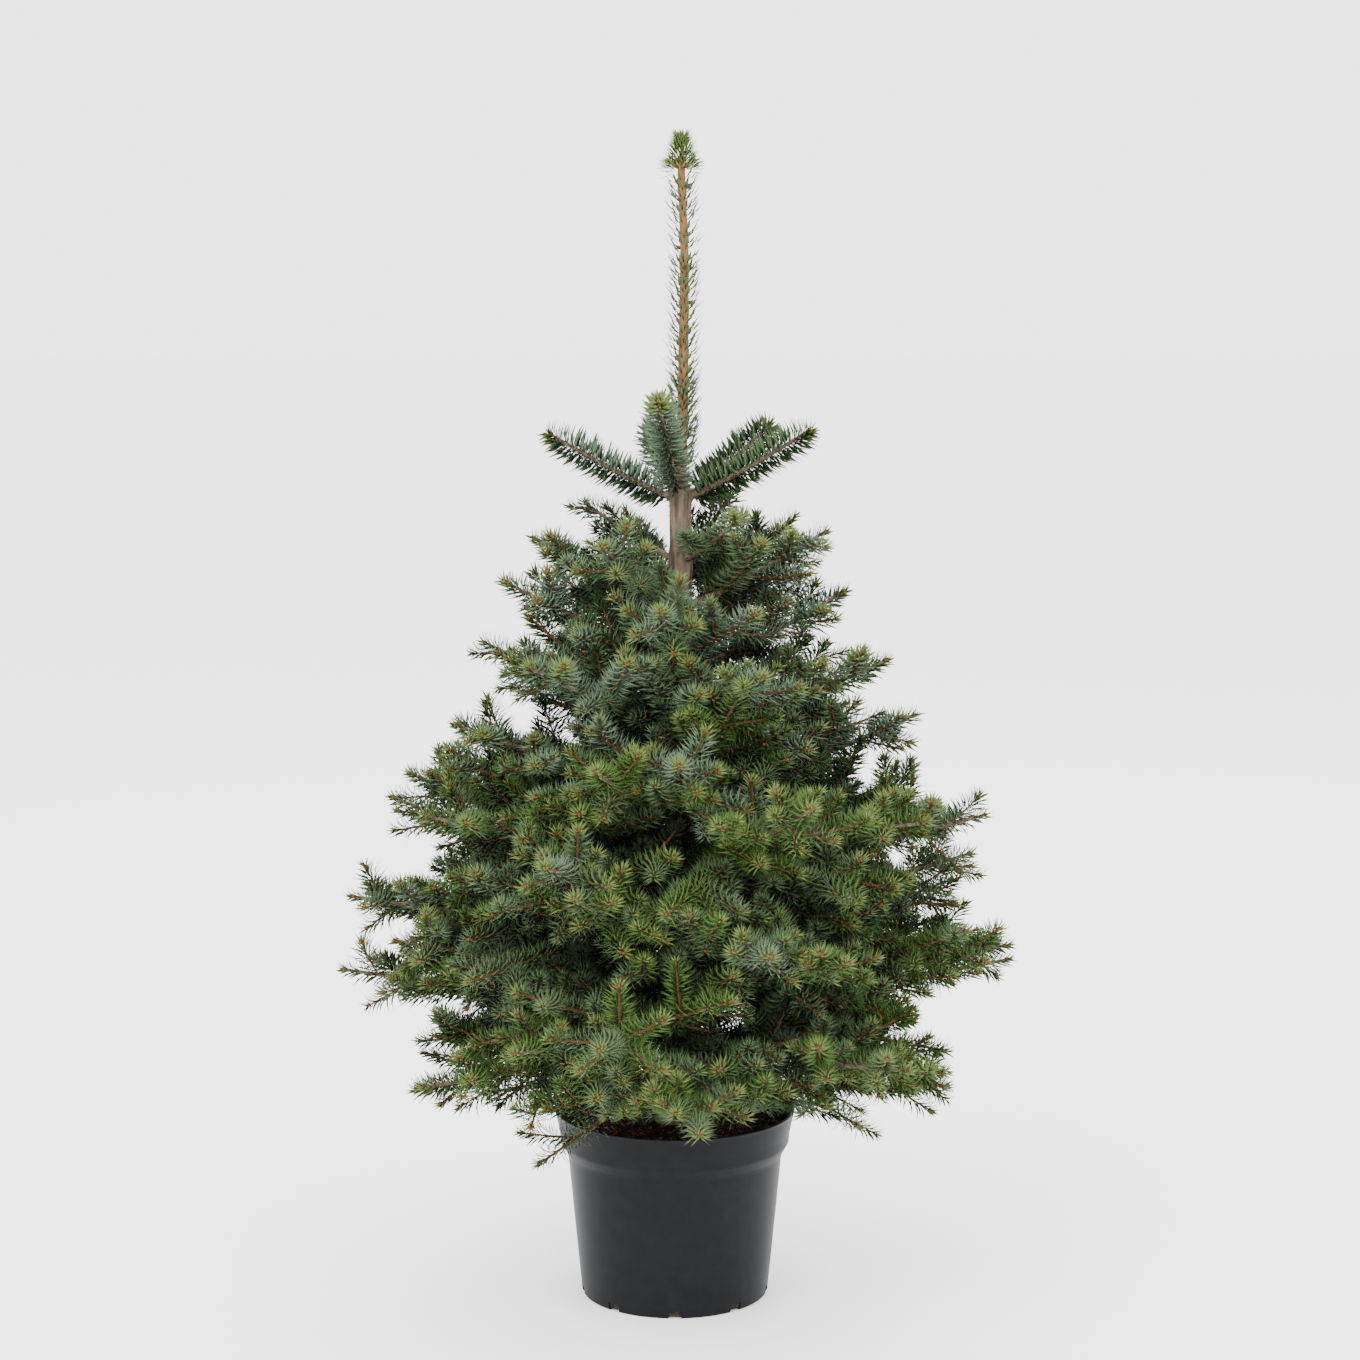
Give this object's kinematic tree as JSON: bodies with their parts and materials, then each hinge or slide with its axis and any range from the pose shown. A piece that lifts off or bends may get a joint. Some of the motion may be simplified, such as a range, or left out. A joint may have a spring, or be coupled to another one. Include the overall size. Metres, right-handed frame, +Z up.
{
  "type": "potted nordmann fir",
  "caption": "Young fir tree with tiers of needled boughs and one long leading shoot, in a round plastic nursery container.",
  "frame": {"origin": "on the floor, at the middle of the container's flat underside", "axes": "+Z up along the trunk; -Y towards the viewer of the picture; +X to that viewer's right"},
  "size_m": [0.7909, 0.7858, 1.346],
  "materials": {
    "pot": "satin anthracite",
    "soil": "dark crumbly compost",
    "bark": "grey-brown bark",
    "needles": "dark to blue-green needles",
    "young_needles": "yellow-green young needles"
  },
  "bodies": {
    "root": {"bough_28": "bark", "bough_29": "bark", "bough_30": "bark", "bough_31": "bark", "bough_36": "bark", "bough_37": "bark", "bough_38": "bark", "bough_39": "bark", "bough_40": "bark", "bough_41": "bark", "bough_42": "bark", "bough_43": "bark", "leader_needles": "young_needles", "pot": "pot", "soil": "soil", "spray_01": "needles", "spray_02": "needles", "spray_03": "needles", "spray_04": "needles", "spray_05": "needles", "spray_06": "needles", "spray_07": "needles", "spray_08": "needles", "spray_09": "needles", "spray_10": "needles", "spray_11": "needles", "spray_12": "needles", "spray_13": "needles", "spray_14": "needles", "spray_15": "needles", "spray_16": "needles", "spray_17": "needles", "spray_18": "needles", "spray_19": "needles", "spray_20": "needles", "spray_21": "needles", "spray_22": "needles", "spray_23": "needles", "spray_24": "needles", "spray_25": "needles", "spray_26": "needles", "spray_27": "needles", "spray_28": "needles", "spray_29": "needles", "spray_30": "needles", "spray_31": "needles", "spray_32": "needles", "spray_33": "needles", "spray_34": "needles", "spray_35": "needles", "spray_36": "needles", "spray_37": "needles", "spray_38": "needles", "spray_39": "needles", "spray_40": "needles", "spray_41": "needles", "spray_42": "needles", "spray_43": "needles", "top_tuft": "young_needles", "trunk": "bark"}
  },
  "joints": []
}
